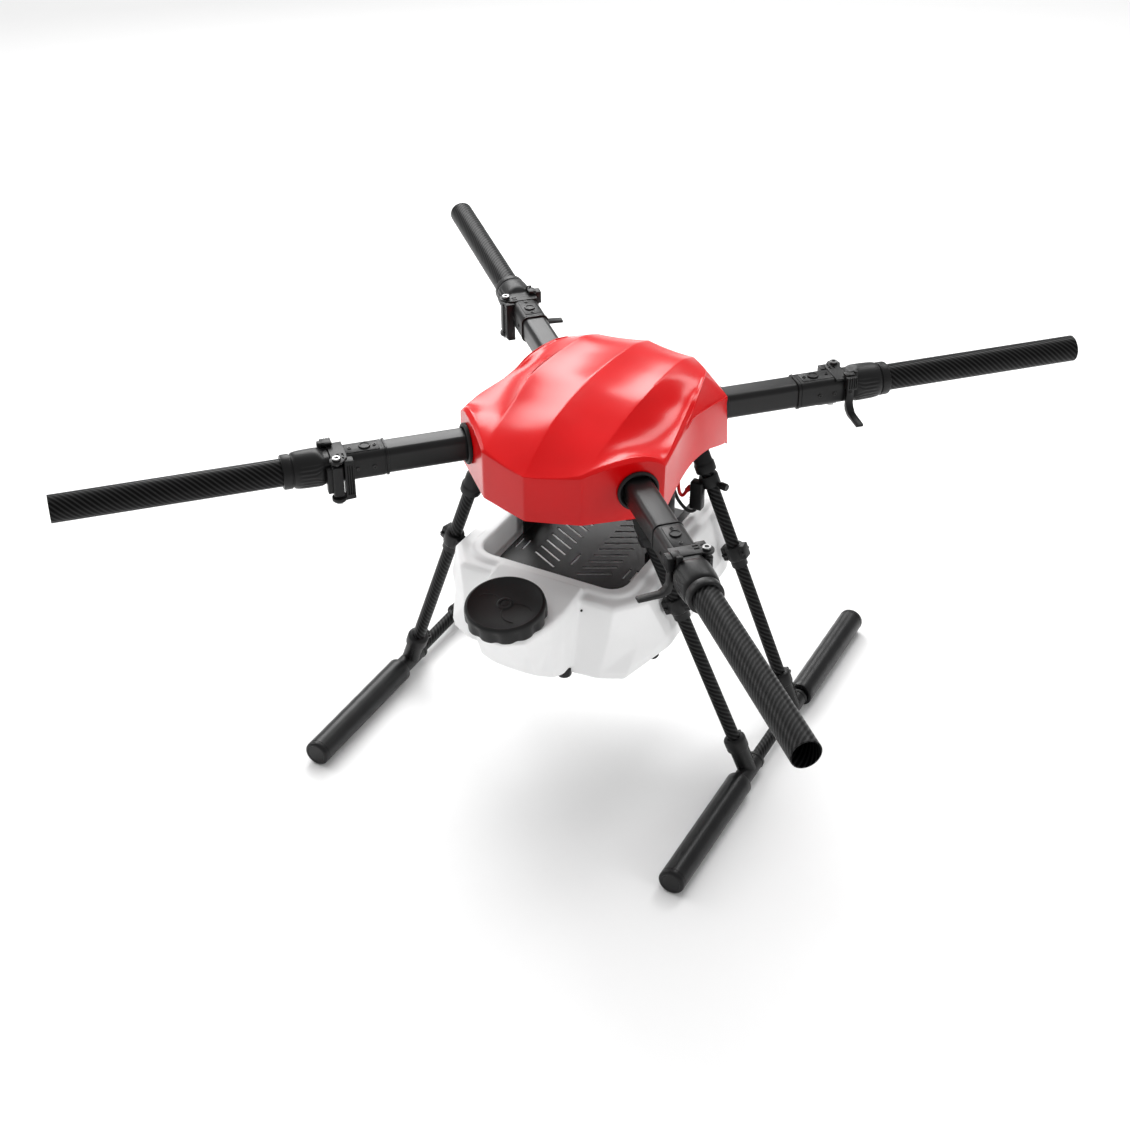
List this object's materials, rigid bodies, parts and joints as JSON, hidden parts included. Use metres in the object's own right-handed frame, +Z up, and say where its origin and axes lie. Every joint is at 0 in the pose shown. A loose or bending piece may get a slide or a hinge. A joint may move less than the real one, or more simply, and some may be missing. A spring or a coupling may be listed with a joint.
{
  "type": "folding multirotor spray drone frame",
  "caption": "Folding multirotor airframe for crop spraying: round arms on hinged latching joints, red top cover, white liquid tank with screw lid, slotted battery tray and splayed landing legs.",
  "frame": {"origin": "on the ground, below the point where the axes of the arms cross", "axes": "+Z up, -Y towards the nose where the tank's lid is, so the machine's right-hand side (looking forward) is -X"},
  "size_m": [1.137, 1.137, 0.5965],
  "materials": {
    "carbon": "satin woven carbon",
    "black_plastic": "satin moulded black",
    "rubber": "matt",
    "foam": "smooth foam skin",
    "steel": "bright",
    "red_gloss": "high gloss",
    "tank_white": "soft gloss",
    "board": "satin",
    "red_rubber": "satin"
  },
  "bodies": {
    "airframe": {"front_right_inner_tube": "black_plastic", "front_right_fold_base": "black_plastic", "front_right_hinge_bolt": "steel", "front_right_cover_grommet": "rubber", "rear_right_inner_tube": "black_plastic", "rear_right_fold_base": "black_plastic", "rear_right_hinge_bolt": "steel", "rear_right_cover_grommet": "rubber", "rear_left_inner_tube": "black_plastic", "rear_left_fold_base": "black_plastic", "rear_left_hinge_bolt": "steel", "rear_left_cover_grommet": "rubber", "front_left_inner_tube": "black_plastic", "front_left_fold_base": "black_plastic", "front_left_hinge_bolt": "steel", "front_left_cover_grommet": "rubber", "left_skid_tube": "carbon", "left_skid_foam_front": "foam", "left_skid_foam_rear": "foam", "left_leg_tube_front": "carbon", "left_leg_tee_front": "black_plastic", "left_leg_sleeve_front": "black_plastic", "left_leg_root_front": "black_plastic", "left_leg_tube_rear": "carbon", "left_leg_tee_rear": "black_plastic", "left_leg_sleeve_rear": "black_plastic", "left_leg_root_rear": "black_plastic", "right_skid_tube": "carbon", "right_skid_foam_front": "foam", "right_skid_foam_rear": "foam", "right_leg_tube_front": "carbon", "right_leg_tee_front": "black_plastic", "right_leg_sleeve_front": "black_plastic", "right_leg_root_front": "black_plastic", "right_leg_tube_rear": "carbon", "right_leg_tee_rear": "black_plastic", "right_leg_sleeve_rear": "black_plastic", "right_leg_root_rear": "black_plastic", "center_frame": "black_plastic", "power_board": "board", "battery_tray": "black_plastic", "tank": "tank_white", "top_cover": "red_gloss", "plug_holder": "black_plastic", "power_lead_red": "red_rubber", "power_lead_black": "rubber"},
    "front_right_outer_arm": {"front_right_fold_socket": "black_plastic", "front_right_arm_tube": "carbon"},
    "front_right_latch": {"front_right_latch_lever": "black_plastic"},
    "rear_right_outer_arm": {"rear_right_fold_socket": "black_plastic", "rear_right_arm_tube": "carbon"},
    "rear_right_latch": {"rear_right_latch_lever": "black_plastic"},
    "rear_left_outer_arm": {"rear_left_fold_socket": "black_plastic", "rear_left_arm_tube": "carbon"},
    "rear_left_latch": {"rear_left_latch_lever": "black_plastic"},
    "front_left_outer_arm": {"front_left_fold_socket": "black_plastic", "front_left_arm_tube": "carbon"},
    "front_left_latch": {"front_left_latch_lever": "black_plastic"},
    "lid": {"tank_lid": "black_plastic", "lid_seal": "rubber"}
  },
  "joints": [
    {"name": "front_right_fold", "type": "hinge", "parent": "airframe", "child": "front_right_outer_arm", "pos_m": [0.29416, -0.25597, 0.512], "axis": [0, 0, 1], "range_deg": [0, 135]},
    {"name": "front_right_latch_swing", "type": "hinge", "parent": "front_right_outer_arm", "child": "front_right_latch", "pos_m": [0.2687, -0.28991, 0.539], "axis": [-0.7071, 0.7071, 0], "range_deg": [0, 100]},
    {"name": "rear_right_fold", "type": "hinge", "parent": "airframe", "child": "rear_right_outer_arm", "pos_m": [0.25597, 0.29416, 0.512], "axis": [0, 0, 1], "range_deg": [0, 135]},
    {"name": "rear_right_latch_swing", "type": "hinge", "parent": "rear_right_outer_arm", "child": "rear_right_latch", "pos_m": [0.28991, 0.2687, 0.539], "axis": [-0.7071, -0.7071, 0], "range_deg": [0, 100]},
    {"name": "rear_left_fold", "type": "hinge", "parent": "airframe", "child": "rear_left_outer_arm", "pos_m": [-0.29416, 0.25597, 0.512], "axis": [0, 0, 1], "range_deg": [0, 135]},
    {"name": "rear_left_latch_swing", "type": "hinge", "parent": "rear_left_outer_arm", "child": "rear_left_latch", "pos_m": [-0.2687, 0.28991, 0.539], "axis": [0.7071, -0.7071, 0], "range_deg": [0, 100]},
    {"name": "front_left_fold", "type": "hinge", "parent": "airframe", "child": "front_left_outer_arm", "pos_m": [-0.25597, -0.29416, 0.512], "axis": [0, 0, 1], "range_deg": [0, 135]},
    {"name": "front_left_latch_swing", "type": "hinge", "parent": "front_left_outer_arm", "child": "front_left_latch", "pos_m": [-0.28991, -0.2687, 0.539], "axis": [0.7071, 0.7071, 0], "range_deg": [0, 100]},
    {"name": "lid_lift", "type": "slide", "parent": "airframe", "child": "lid", "axis": [0, -0.1392, 0.9903], "range_m": [0, 0.09]}
  ]
}
